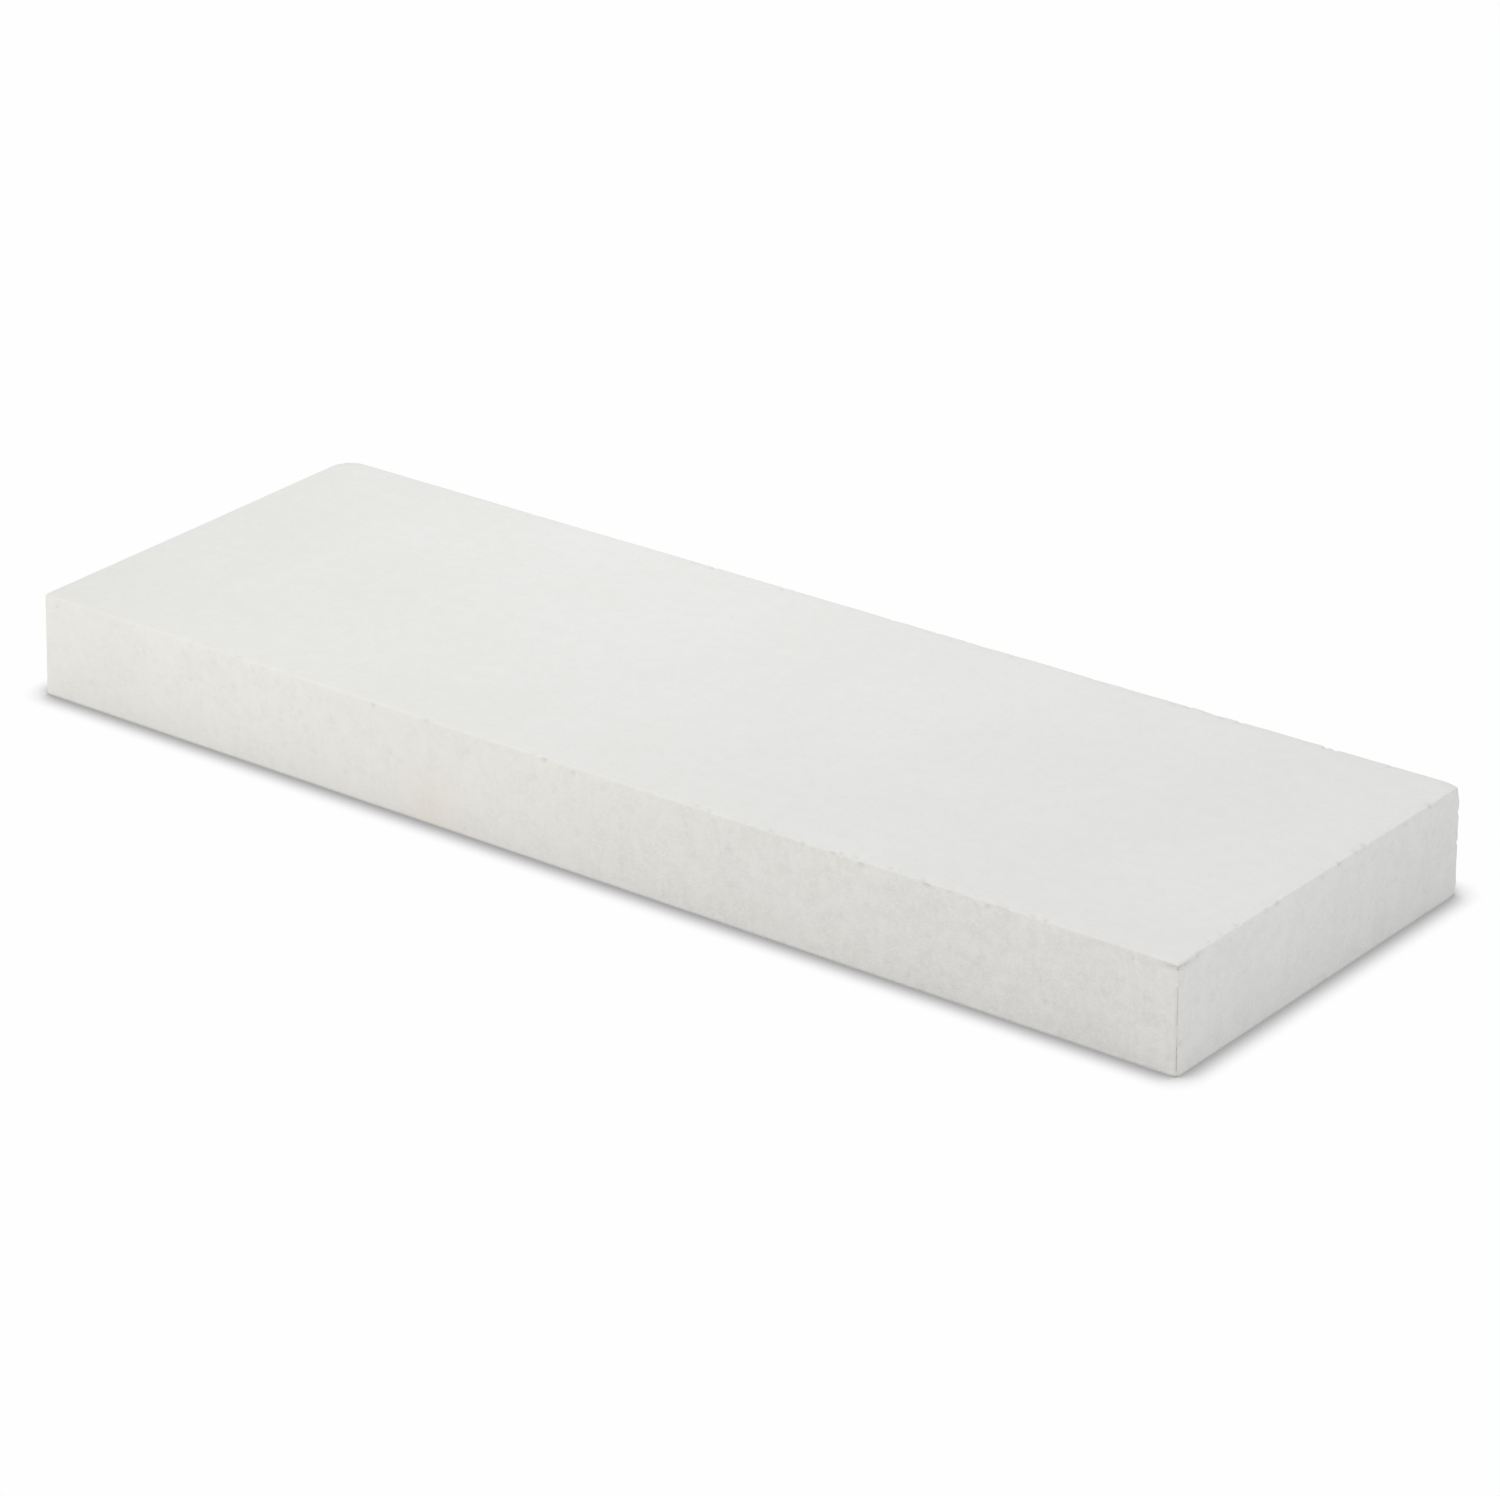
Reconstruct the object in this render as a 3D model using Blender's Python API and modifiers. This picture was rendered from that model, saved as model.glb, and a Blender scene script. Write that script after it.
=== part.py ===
"""Floral foam brick: one long, flat slab of rigid white foam, cut to size from a larger block.

The slab is a single piece of foam. Its four upright corners are blunted, and the arrises round its
top and its base are slightly eased, as a wire or blade leaves them.

Frame: origin at the centre of the base, +X along the length, +Y across the width, +Z up. Metres.
"""

from math import radians

import bpy

# Driving dimensions, in metres. Each one can be changed by itself.
LENGTH = 0.302
WIDTH = 0.100
HEIGHT = 0.024
CORNER_RADIUS = 0.0012  # the four upright corners, seen from above
ARRIS_RADIUS = 0.0008  # the edges all round the top and the base

# How finely the rounded edges are cut up.
CORNER_SEGMENTS = 4
ARRIS_SEGMENTS = 3

# An edge turning by more than this is an arris, and one turning by less is part of a round corner.
ARRIS_ANGLE = radians(60)
SMOOTH_ANGLE = radians(35)

# Off-white foam, matte, with no gloss and no metal in it.
FOAM_COLOUR = (0.80, 0.80, 0.78, 1.0)
FOAM_ROUGHNESS = 0.95
FOAM_SPECULAR = 0.2


def clear_scene():
    for obj in list(bpy.data.objects):
        bpy.data.objects.remove(obj, do_unlink=True)


def make_collection(name):
    collection = bpy.data.collections.new(name)
    bpy.context.scene.collection.children.link(collection)
    return collection


def foam_material():
    material = bpy.data.materials.new("foam")
    material.use_nodes = True
    shader = material.node_tree.nodes["Principled BSDF"]
    shader.inputs["Base Color"].default_value = FOAM_COLOUR
    shader.inputs["Roughness"].default_value = FOAM_ROUGHNESS
    shader.inputs["Metallic"].default_value = 0.0
    shader.inputs["Specular IOR Level"].default_value = FOAM_SPECULAR
    material.diffuse_color = FOAM_COLOUR
    return material


def mark_upright_edges(mesh):
    """Gives the four edges that run along Z the full bevel weight, and the others none."""
    weights = mesh.attributes.new("bevel_weight_edge", "FLOAT", "EDGE")
    for edge, weight in zip(mesh.edges, weights.data):
        start, end = (mesh.vertices[index].co for index in edge.vertices)
        weight.value = 1.0 if abs(end.z - start.z) > HEIGHT / 2 else 0.0


def add_bevel(obj, name, limit_method, width, segments):
    bevel = obj.modifiers.new(name, "BEVEL")
    bevel.limit_method = limit_method
    bevel.offset_type = "OFFSET"
    bevel.width = width
    bevel.segments = segments
    return bevel


def make_foam_block(collection):
    """The whole brick, standing on its base with its length along X."""
    bpy.ops.mesh.primitive_cube_add(size=1.0, location=(0.0, 0.0, HEIGHT / 2))
    block = bpy.context.object
    block.name = "foam_block"
    block.data.name = "foam_block"
    block.scale = (LENGTH, WIDTH, HEIGHT)
    bpy.ops.object.transform_apply(location=False, rotation=False, scale=True)
    for owner in list(block.users_collection):
        owner.objects.unlink(block)
    collection.objects.link(block)

    mark_upright_edges(block.data)
    add_bevel(block, "upright_corners", "WEIGHT", CORNER_RADIUS, CORNER_SEGMENTS)
    arrises = add_bevel(block, "arrises", "ANGLE", ARRIS_RADIUS, ARRIS_SEGMENTS)
    arrises.angle_limit = ARRIS_ANGLE

    block.data.shade_smooth()
    block.data.set_sharp_from_angle(angle=SMOOTH_ANGLE)
    block.data.materials.append(foam_material())
    return block


def main():
    clear_scene()
    make_foam_block(make_collection("floral_foam_brick"))


main()
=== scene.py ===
"""Looks of the floral foam brick: the slab of white foam with its cut sides, on a pale floor."""

from math import cos, hypot, radians, sin

import bmesh
import bpy
from mathutils import Matrix, Vector, noise


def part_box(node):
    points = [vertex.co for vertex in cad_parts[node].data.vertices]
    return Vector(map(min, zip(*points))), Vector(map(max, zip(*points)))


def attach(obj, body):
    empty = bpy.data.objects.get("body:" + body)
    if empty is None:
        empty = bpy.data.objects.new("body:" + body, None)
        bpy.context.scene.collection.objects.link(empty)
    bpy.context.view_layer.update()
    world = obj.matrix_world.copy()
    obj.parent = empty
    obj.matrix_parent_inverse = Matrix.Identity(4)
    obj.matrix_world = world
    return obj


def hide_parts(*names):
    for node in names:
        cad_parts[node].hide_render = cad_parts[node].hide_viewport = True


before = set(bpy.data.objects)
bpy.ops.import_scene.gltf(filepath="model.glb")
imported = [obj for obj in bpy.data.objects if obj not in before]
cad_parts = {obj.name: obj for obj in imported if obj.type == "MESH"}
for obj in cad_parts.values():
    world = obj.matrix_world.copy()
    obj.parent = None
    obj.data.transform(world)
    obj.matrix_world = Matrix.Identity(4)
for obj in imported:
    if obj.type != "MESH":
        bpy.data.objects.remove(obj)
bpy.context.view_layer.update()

MM = 0.001

LOW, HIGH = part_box("foam_block")
SIZE = HIGH - LOW
CENTRE = (LOW + HIGH) / 2
HALF = SIZE / 2

# The roundings before any wear: the upright corners, the sharp one at the front right, the top's edges
# and the base's edges.
CORNER_RADIUS = 1.2 * MM
SHARP_CORNER_RADIUS = 0.4 * MM
TOP_ARRIS = 0.65 * MM
BASE_ARRIS = 0.12 * MM

# The foam's mesh is a coarse cage, and each level of refining halves its cells.
CAGE_CELL = 4.75 * MM
TOP_RIM = 5.0 * MM
RIM = 2.0 * MM
FINE_RIM = 1.15 * MM

# How rough the cutter left the long sides and the ends, from 0 to 1.
LONG_CUT = 1.0
END_CUT = 0.55

# A point this close to a plane of the plain box is on it.
TOUCHING = 1e-6

# The view: where the camera looks from, and the point on the floor that it turns about.
VIEW_AZIMUTH = radians(38.95)
VIEW_ELEVATION = radians(24.41)
VIEW_ROLL = radians(-0.94)
VIEW_TARGET = Vector((-0.0080, 0.0200, 0.0))
VIEW_DISTANCE = 1.1766
LENS_MM = 131.5
SENSOR_MM = 36.0


def smooth(low, high, value):
    """0 at low, 1 at high, and an S-curve between them. low may be the larger."""
    share = min(max((value - low) / (high - low), 0.0), 1.0)
    return share * share * (3.0 - 2.0 * share)


# ---------------------------------------------------------------- the slab's cage


def on_side(place):
    return HALF.z - abs(place.z - CENTRE.z) > TOUCHING


def on_top(place):
    return place.z > HIGH.z - TOUCHING


def near_base(place):
    return place.z < LOW.z + FINE_RIM


def face_gaps(place):
    """How far a point lies from the ends, the long sides, and the top or base, whichever is nearer."""
    return [HALF[axis] - abs(place[axis] - CENTRE[axis]) for axis in range(3)]


def edge_gap(place):
    """How far a point on the plain box lies from its nearest edge."""
    return sorted(face_gaps(place))[1]


def cut_across(bm, axis, cells):
    """Cuts every edge that runs along axis into that many equal parts."""
    along = [
        edge
        for edge in bm.edges
        if abs((edge.verts[0].co - edge.verts[1].co)[axis]) > HALF[axis]
    ]
    bmesh.ops.subdivide_edges(bm, edges=along, cuts=cells - 1, use_grid_fill=True)


def refine(bm, wanted):
    """Halves the cells of every face whose middle is wanted."""
    edges = {
        edge
        for face in bm.faces
        if wanted(face.calc_center_median())
        for edge in face.edges
    }
    bmesh.ops.subdivide_edges(bm, edges=list(edges), cuts=1, use_grid_fill=True)


def slab_cage():
    """The plain box, cut into cells: coarse underneath, finer on top and finest on the sides."""
    bm = bmesh.new()
    placed = Matrix.Translation(CENTRE) @ Matrix.Diagonal((*SIZE, 1.0))
    bmesh.ops.create_cube(bm, size=1.0, matrix=placed)
    for axis in range(3):
        cut_across(bm, axis, round(SIZE[axis] / CAGE_CELL))
    refine(bm, lambda at: on_side(at) or on_top(at) or edge_gap(at) < 2 * CAGE_CELL)
    refine(bm, lambda at: on_side(at) or edge_gap(at) < (TOP_RIM if on_top(at) else CAGE_CELL))
    refine(bm, lambda at: on_side(at) or edge_gap(at) < RIM)
    refine(bm, lambda at: edge_gap(at) < FINE_RIM and not near_base(at))
    return bm


# ---------------------------------------------------------------- the slab's rounded outline


def rounded(place):
    """Moves a point of the plain box onto the rounded box. Returns its place and outward direction."""
    off = place - CENTRE
    flat = Vector((off.x, off.y))
    corner = SHARP_CORNER_RADIUS if off.x > 0 > off.y else CORNER_RADIUS
    core = Vector((HALF.x - corner, HALF.y - corner))
    inner = Vector((max(-core.x, min(core.x, flat.x)), max(-core.y, min(core.y, flat.y))))
    arm = flat - inner
    if arm.x and arm.y:
        reach = max(abs(arm.x), abs(arm.y))
        outward = arm.normalized()
        flat = inner + outward * reach
        inset = corner - reach
    else:
        gap_x, gap_y = HALF.x - abs(flat.x), HALF.y - abs(flat.y)
        inset = min(gap_x, gap_y)
        along_x = Vector((1 if off.x > 0 else -1, 0))
        along_y = Vector((0, 1 if off.y > 0 else -1))
        outward = along_x if gap_x < gap_y else along_y
    level, radius = (1, TOP_ARRIS) if off.z > 0 else (-1, BASE_ARRIS)
    drop = HALF.z - abs(off.z)
    out, up = radius - inset, radius - drop
    if out > 0 and up > 0:
        arris = Vector((out, up)).normalized()
        ring = arris * max(out, up)
        flat = flat + outward * (ring.x - out)
        height = HALF.z - radius + ring.y
        normal = Vector((*(outward * arris.x), level * arris.y))
        return CENTRE + Vector((*flat, level * height)), normal
    if drop > inset:
        return CENTRE + Vector((*flat, off.z)), Vector((*outward, 0.0))
    return CENTRE + Vector((*flat, off.z)), Vector((0.0, 0.0, level))


# ---------------------------------------------------------------- the foam's relief


def lumps(place, width, seed=0.0):
    """Smooth noise from about -1 to 1, whose lumps are that wide."""
    return noise.noise(place / width + Vector((seed, 1.7 * seed, -seed)))


def tall_lumps(place, width, stretch, seed=0.0):
    """The same, with lumps that are taller than they are wide, as foam's cells are."""
    return lumps(Vector((place.x, place.y, place.z / stretch)), width, seed)


BITE_SPACING = 2.5 * MM
BITE_RADIUS = 0.42  # in spacings, give or take the next value
BITE_RADIUS_SPREAD = 0.12


def bites(place, chance):
    """How deep in a round bite a point lies, from 0 to 1. chance(seed) says how likely one is there."""
    distances, seeds = noise.voronoi(place / BITE_SPACING)
    seed = seeds[0]
    if noise.cell(61.0 * seed) > 2.0 * chance(seed * BITE_SPACING) - 1.0:
        return 0.0
    radius = BITE_RADIUS + BITE_RADIUS_SPREAD * noise.cell(17.0 * seed)
    return smooth(radius, 0.0, distances[0])


def from_centre(place):
    """How far along the length a point is, from -1 at the left end to 1 at the right."""
    return (place.x - CENTRE.x) / HALF.x


def coarseness(place):
    """How coarse the cut is there. The cutter tore more towards the right end, and in patches."""
    return 0.32 + 0.73 * smooth(-0.4, 1.0, from_centre(place)) + 0.2 * lumps(place, 30 * MM, 8.8)


def wear(place):
    """How crumbled an edge is there, from 0 to 1. It is worst towards the right end."""
    along = 0.15 + 0.8 * smooth(-0.4, 0.6, from_centre(place))
    return along * smooth(-0.5, 0.2, lumps(place, 21 * MM, 4.1))


# The heights of a cut side's relief: its waver, its clumps and cells, the cutter's drag, and its pits.
WAVER_HEIGHT = 0.22 * MM
CLUMP_HEIGHT = 0.055 * MM
CELL_HEIGHT = 0.035 * MM
CUTTER_DRAG_HEIGHT = 0.022 * MM
PIT_DEPTH = 0.15 * MM
PIT_CHANCE = 0.6


def cut_relief(place, cut, coarse):
    """A cut side's height, and how deep in a pit the point is."""
    clumps = CLUMP_HEIGHT * tall_lumps(place, 2.1 * MM, 1.5, 9.2)
    cells = CELL_HEIGHT * tall_lumps(place, 1.1 * MM, 1.3, 5.3)
    drag = CUTTER_DRAG_HEIGHT * tall_lumps(place, 0.8 * MM, 12.0, 2.5)
    torn = bites(place, lambda seed: PIT_CHANCE * cut * coarseness(seed))
    waver = WAVER_HEIGHT * lumps(place, 46 * MM, 3.1)
    return waver + coarse * (clumps + cells + drag) - PIT_DEPTH * torn, torn


# The top and the base are all but flat: broad waves, and fine ones on them.
BROAD_WAVE_HEIGHT = 0.08 * MM
FINE_WAVE_HEIGHT = 0.02 * MM


def planed_relief(place):
    """The top's and the base's height."""
    broad = BROAD_WAVE_HEIGHT * lumps(place, 60 * MM, 6.1)
    return broad + FINE_WAVE_HEIGHT * lumps(place, 11 * MM, 1.2)


# How far from an edge it crumbles, how deep its bites are, and how far it is rubbed down.
CRUMBLE_REACH = 2.6 * MM
CRUMBLE_FULL = 0.5 * MM
EDGE_BITE_DEPTH = 0.55 * MM
RUB_EVERYWHERE = 0.04 * MM
RUB_WHERE_WORN = 0.14 * MM


def crumble(place, gap):
    """The height near an edge that lies gap away, and how deep in a bite the point is.

    The base keeps its edges.
    """
    level = (place.z - CENTRE.z) / HALF.z
    close = smooth(CRUMBLE_REACH, CRUMBLE_FULL, gap) * smooth(-0.9, -0.4, level)
    torn = close * bites(place, wear)
    rubbed = RUB_EVERYWHERE + RUB_WHERE_WORN * wear(place) * (1.0 + lumps(place, 4.2 * MM, 2.2))
    return -(EDGE_BITE_DEPTH * torn + close * rubbed), torn


# Knocked corners: which one, by the signs of its x, y and z, then how wide and deep the knock is.
KNOCKS = [
    ((-1, 1, 1), 5.0 * MM, 0.7 * MM),
    ((1, 1, 1), 4.0 * MM, 0.45 * MM),
    ((-1, 1, -1), 4.0 * MM, 0.6 * MM),
    ((1, 1, -1), 3.0 * MM, 0.4 * MM),
]


def knocks(place):
    """How far the corners are pushed in there."""
    total = 0.0
    for signs, width, depth in KNOCKS:
        corner = CENTRE + Vector([sign * half for sign, half in zip(signs, HALF)])
        total += depth * smooth(width, 0.0, (place - corner).length)
    return -total


# The left end is cut a little out of square: it leans in towards the top, most at the front.
END_LEAN = 1.5 * MM
LEAN_REACH = 12.0 * MM


def lean(place):
    """How far the left end's lean moves a point."""
    up = (place.z - LOW.z) / SIZE.z
    front = (HIGH.y - place.y) / SIZE.y
    share = smooth(LOW.x + LEAN_REACH, LOW.x, place.x)
    return Vector((END_LEAN * share * up * front, 0.0, 0.0))


# Down the front right corner the cut ran out in a crease beside a raised lip, short of the top.
CREASE_OFFSET = 0.1 * MM
CREASE_WIDTH = 0.8 * MM
CREASE_DEPTH = 0.35 * MM
# How dark the painted shade in the crease is.
CREASE_SHADE = 0.45
LIP_OFFSET = 1.4 * MM
LIP_WIDTH = 1.0 * MM
LIP_HEIGHT = 0.09 * MM
CREASE_TOP = 4.5 * MM
CREASE_FADE = 1.5 * MM
CREASE_WANDER = 0.2 * MM

# On both sides of the crease the cutter also dragged fine upright lines.
DRAG_WIDTH = 0.8 * MM
DRAG_HEIGHT = 0.09 * MM
DRAG_REACH = 4.0 * MM

# Just under the top, a nick goes round the same corner, and farther along the end than along the front.
NICK_DROP = 1.1 * MM
NICK_WIDTH = 0.8 * MM
NICK_DEPTH = 0.8 * MM
NICK_REACH = 5.5 * MM
NICK_SHARE_ON_END = 0.7
NICK_WANDER = 0.2 * MM
# How dark the painted shade in the nick is.
NICK_SHADE = 0.6


def front_right(place):
    """The height of the marks by the front right corner, and how much painted shade darkens the crease
    and the nick there.
    """
    inset_x, inset_y, drop = HIGH.x - place.x, place.y - LOW.y, HIGH.z - place.z
    away = hypot(inset_x, NICK_SHARE_ON_END * inset_y)
    if away > NICK_REACH:
        return 0.0, 0.0
    beside = inset_x - inset_y - CREASE_WANDER * lumps(place, 5 * MM, 5.0)
    below = smooth(CREASE_TOP, CREASE_TOP + CREASE_FADE, drop)
    groove = below * smooth(CREASE_WIDTH, 0.0, abs(beside - CREASE_OFFSET))
    lip = below * smooth(LIP_WIDTH, 0.0, abs(beside - LIP_OFFSET))
    level = drop - NICK_DROP - NICK_WANDER * lumps(place, 3 * MM, 1.0)
    nick = smooth(NICK_REACH, 0.3 * NICK_REACH, away) * smooth(NICK_WIDTH, 0.0, abs(level))
    lines = below * smooth(DRAG_REACH, 0.3 * DRAG_REACH, away) * tall_lumps(place, DRAG_WIDTH, 20.0, 6.6)
    height = LIP_HEIGHT * lip + DRAG_HEIGHT * lines - CREASE_DEPTH * groove - NICK_DEPTH * nick
    patchy = 0.7 + 0.6 * lumps(place, 3 * MM, 7.0)
    return height, max(CREASE_SHADE * patchy * groove, NICK_SHADE * nick)


# How dark the painted shade in the pits of a side and in the bites out of an edge is.
FACE_PIT_SHADE = 0.3
BITE_SHADE = 0.45

# A faint yellow stain low on the front.
STAIN = Vector((CENTRE.x - 37 * MM, LOW.y, LOW.z + 3 * MM))
STAIN_REACH = 15.0 * MM
STAIN_WANDER = 3.0 * MM


def stained(place):
    """How stained the foam is there, from 0 to 1."""
    away = (place - STAIN).length + STAIN_WANDER * lumps(place, 7 * MM, 3.3)
    return smooth(STAIN_REACH, 0.0, away)


def shape_slab(bm):
    """Rounds the cage, puts every vertex on the foam, and stores what the material needs there."""
    cut_layer = bm.verts.layers.float.new("cut")
    coarse_layer = bm.verts.layers.float.new("coarse")
    pit_shade_layer = bm.verts.layers.float.new("pit")
    stain_layer = bm.verts.layers.float.new("stain")
    for vert in bm.verts:
        gap = edge_gap(vert.co)
        place, outward = rounded(vert.co)
        side = smooth(0.9, 0.3, abs(outward.z))
        cut = side * (LONG_CUT * abs(outward.y) + END_CUT * abs(outward.x))
        coarse = cut * coarseness(place)
        sawn, torn = cut_relief(place, cut, coarse)
        broken, bitten = crumble(place, gap)
        corner, crease_and_nick_shade = front_right(place)
        height = side * sawn + (1.0 - side) * planed_relief(place) + broken + corner + knocks(place)
        vert.co = place + outward * height + lean(place)
        vert.co.z = max(vert.co.z, LOW.z)
        vert[cut_layer] = cut
        vert[coarse_layer] = coarse
        # The pit attribute is painted shade: it darkens the pits, the bites out of the edges, the crease
        # and the nick.
        vert[pit_shade_layer] = min(FACE_PIT_SHADE * side * torn + BITE_SHADE * bitten + crease_and_nick_shade, 1.0)
        vert[stain_layer] = stained(place)


def make_slab():
    bm = slab_cage()
    shape_slab(bm)
    mesh = bpy.data.meshes.new("foam_slab")
    bm.to_mesh(mesh)
    bm.free()
    mesh.shade_smooth()
    slab = bpy.data.objects.new("foam_slab", mesh)
    bpy.context.scene.collection.objects.link(slab)
    return slab


# ---------------------------------------------------------------- materials


# How wide the foam's clouds, mottling, clumps of cells, cells and grain are.
CLOUD_WIDTH = 34 * MM
MOTTLE_WIDTH = 4 * MM
CLUMP_WIDTH = 2.0 * MM
CELL_WIDTH = 0.9 * MM
GRAIN_WIDTH = 0.8 * MM

# How much taller than wide the clumps are.
CLUMP_STRETCH = 1.5

# The foam's colours. Each face has a light and a dark one, which change over like clouds.
PLANED_LIGHT = (0.824, 0.824, 0.812, 1.0)
PLANED_DARK = (0.812, 0.812, 0.798, 1.0)
SAWN_LIGHT = (0.850, 0.839, 0.812, 1.0)
SAWN_DARK = (0.834, 0.825, 0.802, 1.0)
STAIN_COLOUR = (0.86, 0.80, 0.68, 1.0)
SPECKLE_COLOUR = (0.72, 0.715, 0.69, 1.0)
CLUMP_COLOUR = (0.72, 0.71, 0.685, 1.0)
# Painted shade: a darker colour in the hollows of the open cells, away from their walls.
CELL_HOLLOW_SHADE_COLOUR = (0.68, 0.67, 0.645, 1.0)
# Painted shade: the colour that darkens the pits, the bites, the crease and the nick.
PIT_SHADE_COLOUR = (0.52, 0.51, 0.48, 1.0)

# How strong each of them is at most. The pairs are for a fine face and for a coarse one.
STAIN_SHARE = 0.35
SPECKLE_SHARE = (0.24, 0.45)
CLUMP_SHARE = (0.06, 0.24)
# How strong the painted shade in the cells' hollows is.
CELL_HOLLOW_SHADE_SHARE = (0.04, 0.14)
# How strong the painted shade in the pits, bites, crease and nick is.
PIT_SHADE_SHARE = 0.45

BUMP_SHARE = (0.2, 1.0)
BUMP_STRENGTH = 0.5
BUMP_HEIGHT = 0.06 * MM
ROUGHNESS = (0.82, 0.97)
SPECULAR = 0.25


class Nodes:
    """A short way to write a node tree."""

    def __init__(self, tree):
        self.tree = tree

    def add(self, kind, settings=None, **inputs):
        node = self.tree.nodes.new(kind)
        for name, value in (settings or {}).items():
            setattr(node, name, value)
        for name, value in inputs.items():
            self.feed(node.inputs[name.replace("_", " ")], value)
        return node

    def feed(self, socket, value):
        if isinstance(value, bpy.types.NodeSocket):
            self.tree.links.new(value, socket)
        else:
            socket.default_value = value

    def noise(self, where, width, detail=3.0):
        node = self.add("ShaderNodeTexNoise", Vector=where, Scale=1.0 / width, Detail=detail)
        return node.outputs["Fac"]

    def cells(self, where, width):
        settings = {"feature": "DISTANCE_TO_EDGE"}
        node = self.add("ShaderNodeTexVoronoi", settings, Vector=where, Scale=1.0 / width)
        return node.outputs["Distance"]

    def spread(self, value, low, high, to_low=0.0, to_high=1.0):
        node = self.add("ShaderNodeMapRange", {"interpolation_type": "SMOOTHSTEP"}, Value=value)
        names = ("From Min", "From Max", "To Min", "To Max")
        for name, number in zip(names, (low, high, to_low, to_high)):
            node.inputs[name].default_value = number
        return node.outputs["Result"]

    def math(self, operation, a, b):
        node = self.add("ShaderNodeMath", {"operation": operation})
        self.feed(node.inputs[0], a)
        self.feed(node.inputs[1], b)
        return node.outputs[0]

    def blend(self, share, a, b):
        node = self.add("ShaderNodeMix", {"data_type": "RGBA"})
        self.feed(node.inputs[0], share)
        self.feed(node.inputs[6], a)
        self.feed(node.inputs[7], b)
        return node.outputs[2]

    def attribute(self, name):
        return self.add("ShaderNodeAttribute", {"attribute_name": name}).outputs["Fac"]


def foam_material():
    """Matte off-white foam: fine closed cells on the planed faces, open and warmer on the cut sides.
    Painted shade darkens the cells' hollows, the pits, the bites, the crease and the nick.
    """
    material = bpy.data.materials.new("foam")
    material.use_nodes = True
    shader = material.node_tree.nodes["Principled BSDF"]
    nodes = Nodes(material.node_tree)
    where = nodes.add("ShaderNodeTexCoord").outputs["Object"]
    cut = nodes.attribute("cut")
    coarse = nodes.attribute("coarse")
    pit = nodes.attribute("pit")
    stain = nodes.attribute("stain")

    clouds = nodes.spread(nodes.noise(where, CLOUD_WIDTH, 2.0), 0.35, 0.65)
    tall = nodes.add("ShaderNodeVectorMath", {"operation": "MULTIPLY"})
    nodes.feed(tall.inputs[0], where)
    nodes.feed(tall.inputs[1], (1.0, 1.0, 1.0 / CLUMP_STRETCH))
    clumps = nodes.spread(nodes.noise(tall.outputs[0], CLUMP_WIDTH, 2.0), 0.4, 0.62)
    mottle = nodes.spread(nodes.noise(where, MOTTLE_WIDTH, 3.0), 0.35, 0.65)
    grain = nodes.spread(nodes.noise(where, GRAIN_WIDTH, 2.0), 0.3, 0.7)
    # 0 on a cell's walls and 1 in its hollow.
    cell_hollows = nodes.spread(nodes.cells(where, CELL_WIDTH), 0.0, 0.22)
    speckle = nodes.math("MULTIPLY", mottle, grain)

    def tinted(colour, pattern, strength, tint):
        return nodes.blend(nodes.math("MULTIPLY", pattern, strength), colour, tint)

    def by_coarseness(pair):
        return nodes.spread(coarse, 0.0, 1.0, *pair)

    planed = nodes.blend(clouds, PLANED_LIGHT, PLANED_DARK)
    sawn = nodes.blend(clouds, SAWN_LIGHT, SAWN_DARK)
    colour = nodes.blend(cut, planed, sawn)
    colour = tinted(colour, stain, STAIN_SHARE, STAIN_COLOUR)
    colour = tinted(colour, speckle, by_coarseness(SPECKLE_SHARE), SPECKLE_COLOUR)
    colour = tinted(colour, clumps, by_coarseness(CLUMP_SHARE), CLUMP_COLOUR)
    # Painted shade in the cells' hollows, stronger where the cut is coarser.
    colour = tinted(colour, cell_hollows, by_coarseness(CELL_HOLLOW_SHADE_SHARE), CELL_HOLLOW_SHADE_COLOUR)
    # Painted shade in the pits, the bites, the crease and the nick.
    colour = tinted(colour, pit, PIT_SHADE_SHARE, PIT_SHADE_COLOUR)
    nodes.feed(shader.inputs["Base Color"], colour)

    nodes.feed(shader.inputs["Roughness"], nodes.spread(grain, 0.0, 1.0, *ROUGHNESS))
    shader.inputs["Specular IOR Level"].default_value = SPECULAR

    cell_tops = nodes.math("SUBTRACT", grain, cell_hollows)
    bump = nodes.add(
        "ShaderNodeBump",
        Height=nodes.math("MULTIPLY", cell_tops, by_coarseness(BUMP_SHARE)),
        Strength=BUMP_STRENGTH,
        Distance=BUMP_HEIGHT,
    )
    nodes.feed(shader.inputs["Normal"], bump.outputs["Normal"])
    return material


# The floor as it is seen: how near the slab it dims, and its glow against the slab and in the open.
SEEN_SHADE_REACH = 6 * MM
SEEN_SHADE_GLOW = 0.36
SEEN_OPEN_GLOW = 1.017

# The floor as it lights the slab: dimmer all over, and shaded for farther round.
LIT_SHADE_REACH = 30 * MM
LIT_SHADE_GLOW = 0.23
LIT_OPEN_GLOW = 0.8

# The glow that is seen goes up in an S-curve between these two values of the ambient occlusion.
SEEN_LOW_OPENNESS = 0.424
SEEN_HIGH_OPENNESS = 1.079


def is_seen(nodes):
    """1 for what the camera sees by itself, and 0 for what lights the slab."""
    return nodes.add("ShaderNodeLightPath").outputs["Is Camera Ray"]


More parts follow.
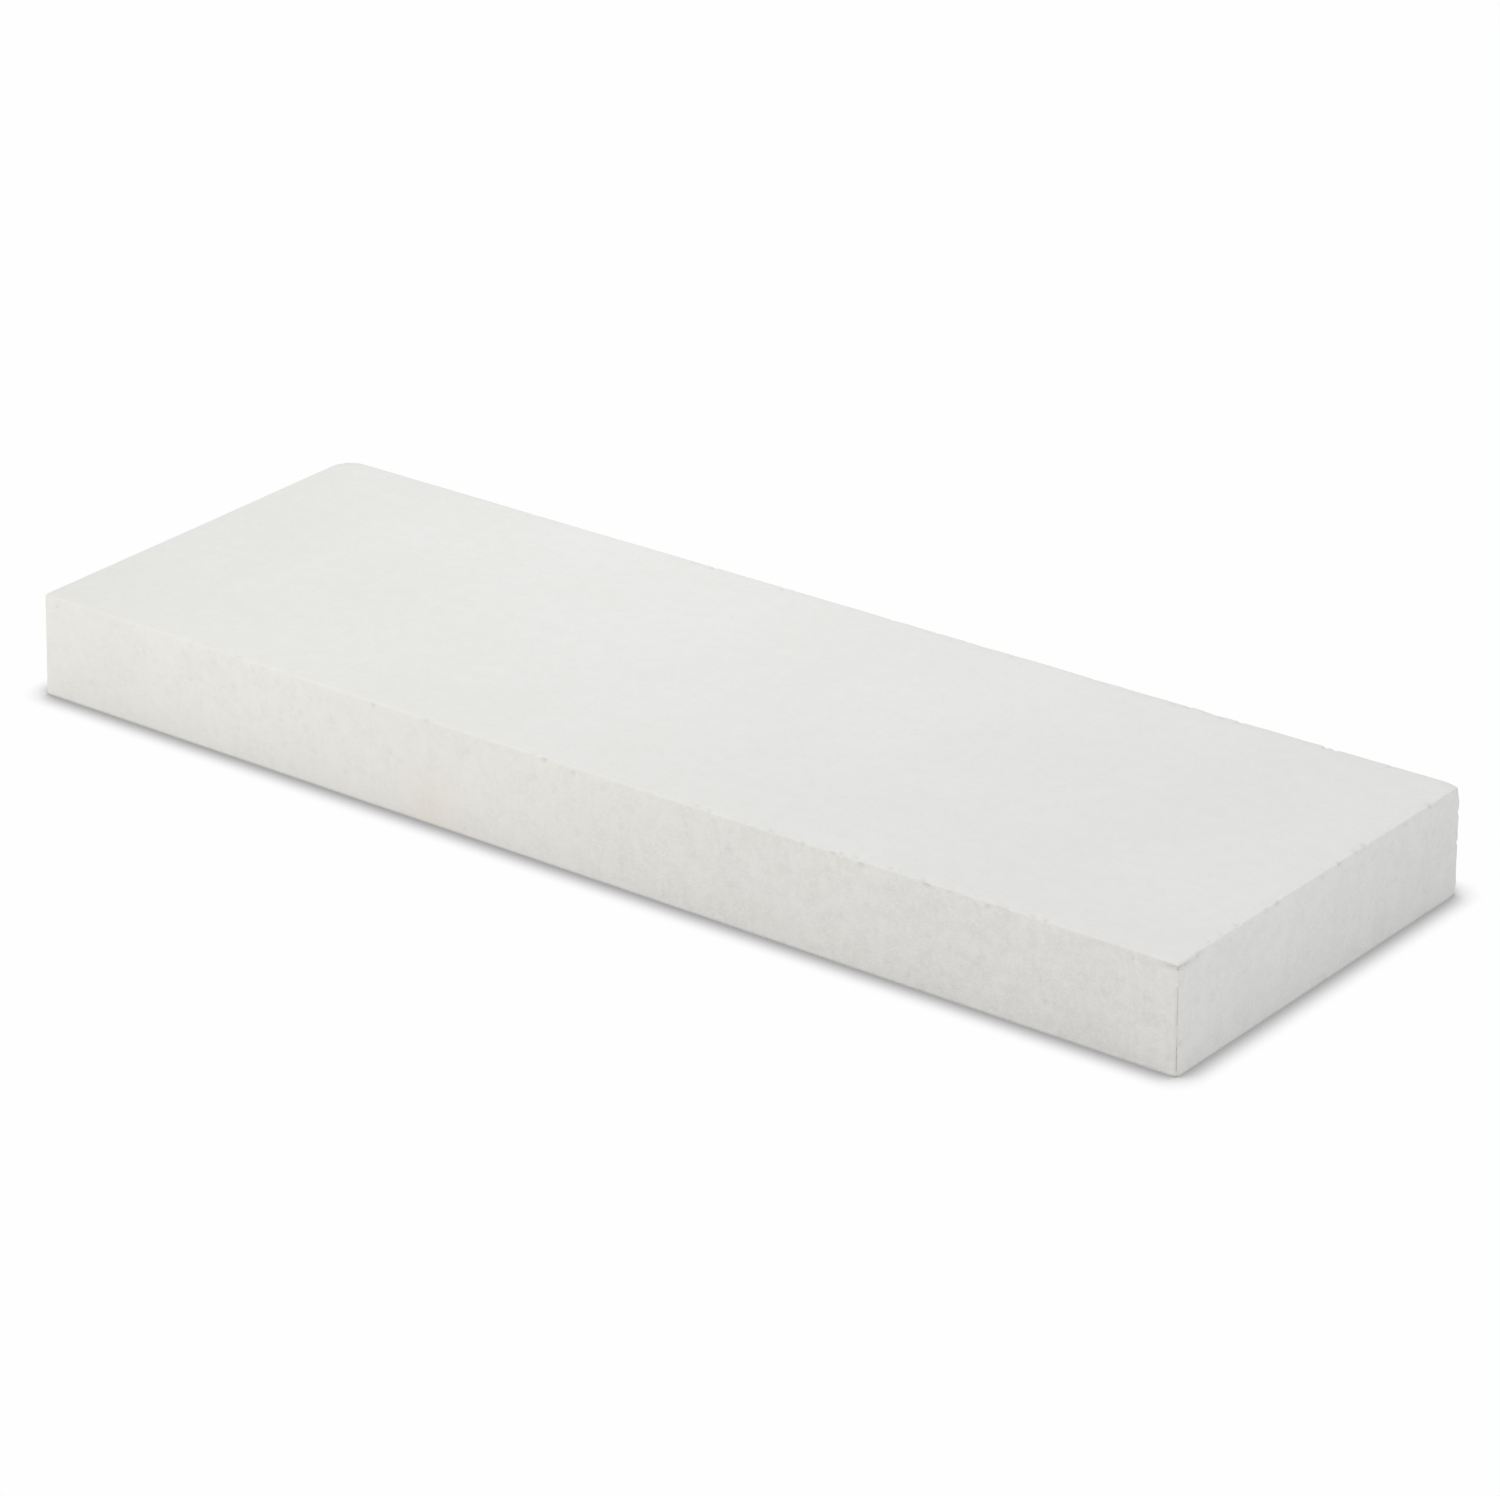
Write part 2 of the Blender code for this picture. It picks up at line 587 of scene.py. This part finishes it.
def floor_material():
    """A white lit table top: it glows evenly, and dims where the slab stands close over it, a painted
    contact shadow that follows the ambient occlusion.
    """
    material = bpy.data.materials.new("floor")
    material.use_nodes = True
    material.cycles.emission_sampling = "NONE"
    tree = material.node_tree
    tree.nodes.clear()
    nodes = Nodes(tree)
    seen = is_seen(nodes)
    reach = nodes.spread(seen, 0.0, 1.0, LIT_SHADE_REACH, SEEN_SHADE_REACH)
    # Painted contact shadow: the glow falls with the ambient occlusion near the slab.
    openness = nodes.add("ShaderNodeAmbientOcclusion", {"samples": 8}, Distance=reach).outputs["AO"]
    ends = (SEEN_LOW_OPENNESS, SEEN_HIGH_OPENNESS, SEEN_SHADE_GLOW, SEEN_OPEN_GLOW)
    seen_glow = nodes.spread(openness, *ends)
    glows = {"To_Min": LIT_SHADE_GLOW, "To_Max": LIT_OPEN_GLOW}
    lit_glow = nodes.add("ShaderNodeMapRange", Value=openness, **glows).outputs["Result"]
    strength = nodes.add("ShaderNodeMix", Factor=seen, A=lit_glow, B=seen_glow)
    glow = nodes.add("ShaderNodeEmission", Strength=strength.outputs["Result"])
    output = nodes.add("ShaderNodeOutputMaterial")
    tree.links.new(glow.outputs["Emission"], output.inputs["Surface"])
    return material


# ---------------------------------------------------------------- the stage


FLOOR_RADIUS = 8.0
FLOOR_GAP = 0.05 * MM


def make_floor():
    """A round floor, just under the slab so that the two don't flicker through each other."""
    just_under = (0, 0, LOW.z - FLOOR_GAP)
    bpy.ops.mesh.primitive_circle_add(
        vertices=96, radius=FLOOR_RADIUS, fill_type="NGON", location=just_under
    )
    floor = bpy.context.object
    floor.name = "floor"
    floor.data.materials.append(floor_material())


# How bright the white room is as it lights the slab, and as it is seen.
ROOM_LIGHT = 0.45
ROOM_SEEN = 1.0

WHITE = (1.0, 1.0, 1.0)
WARM_WHITE = (1.0, 0.98, 0.94)
COOL_WHITE = (0.98, 1.0, 1.05)


def soft_light(name, place, size, power, colour):
    """A square soft box that faces the slab's middle."""
    data = bpy.data.lights.new(name, "AREA")
    data.shape = "SQUARE"
    data.size = size
    data.energy = power
    data.color = colour
    light = bpy.data.objects.new(name, data)
    light.location = place
    light.rotation_euler = (Vector(place) - CENTRE).to_track_quat("Z", "Y").to_euler()
    light.visible_camera = False
    bpy.context.scene.collection.objects.link(light)


def make_lights():
    """A white room, and soft boxes over the back, at the front left (warm) and at the right (cool)."""
    world = bpy.data.worlds.new("room")
    world.use_nodes = True
    nodes = Nodes(world.node_tree)
    background = world.node_tree.nodes["Background"]
    background.inputs["Color"].default_value = (*WHITE, 1.0)
    brightness = nodes.spread(is_seen(nodes), 0.0, 1.0, ROOM_LIGHT, ROOM_SEEN)
    nodes.feed(background.inputs["Strength"], brightness)
    bpy.context.scene.world = world

    soft_light("over_back", (-0.097, 0.161, 0.351), size=0.25, power=0.615, colour=WHITE)
    soft_light("front_left", (-0.182, -0.45, 0.25), size=0.3, power=1.05, colour=WARM_WHITE)
    soft_light("right", (0.31, -0.044, 0.181), size=0.3, power=0.225, colour=COOL_WHITE)


def make_camera():
    data = bpy.data.cameras.new("camera")
    data.sensor_width = SENSOR_MM
    data.lens = LENS_MM
    data.clip_start = 0.01
    data.clip_end = 50.0
    camera = bpy.data.objects.new("camera", data)
    back = Vector(
        (
            sin(VIEW_AZIMUTH) * cos(VIEW_ELEVATION),
            -cos(VIEW_AZIMUTH) * cos(VIEW_ELEVATION),
            sin(VIEW_ELEVATION),
        )
    )
    camera.location = VIEW_TARGET + back * VIEW_DISTANCE
    look = (-back).to_track_quat("-Z", "Y").to_matrix()
    camera.rotation_euler = (look @ Matrix.Rotation(VIEW_ROLL, 3, "Z")).to_euler()
    bpy.context.scene.collection.objects.link(camera)
    bpy.context.scene.camera = camera


# ---------------------------------------------------------------- the scene

bpy.context.scene.view_settings.view_transform = "Standard"
make_camera()
make_floor()
make_lights()

slab = make_slab()
slab.data.materials.append(foam_material())
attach(slab, "root")
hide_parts("foam_block")

bpy.context.view_layer.update()
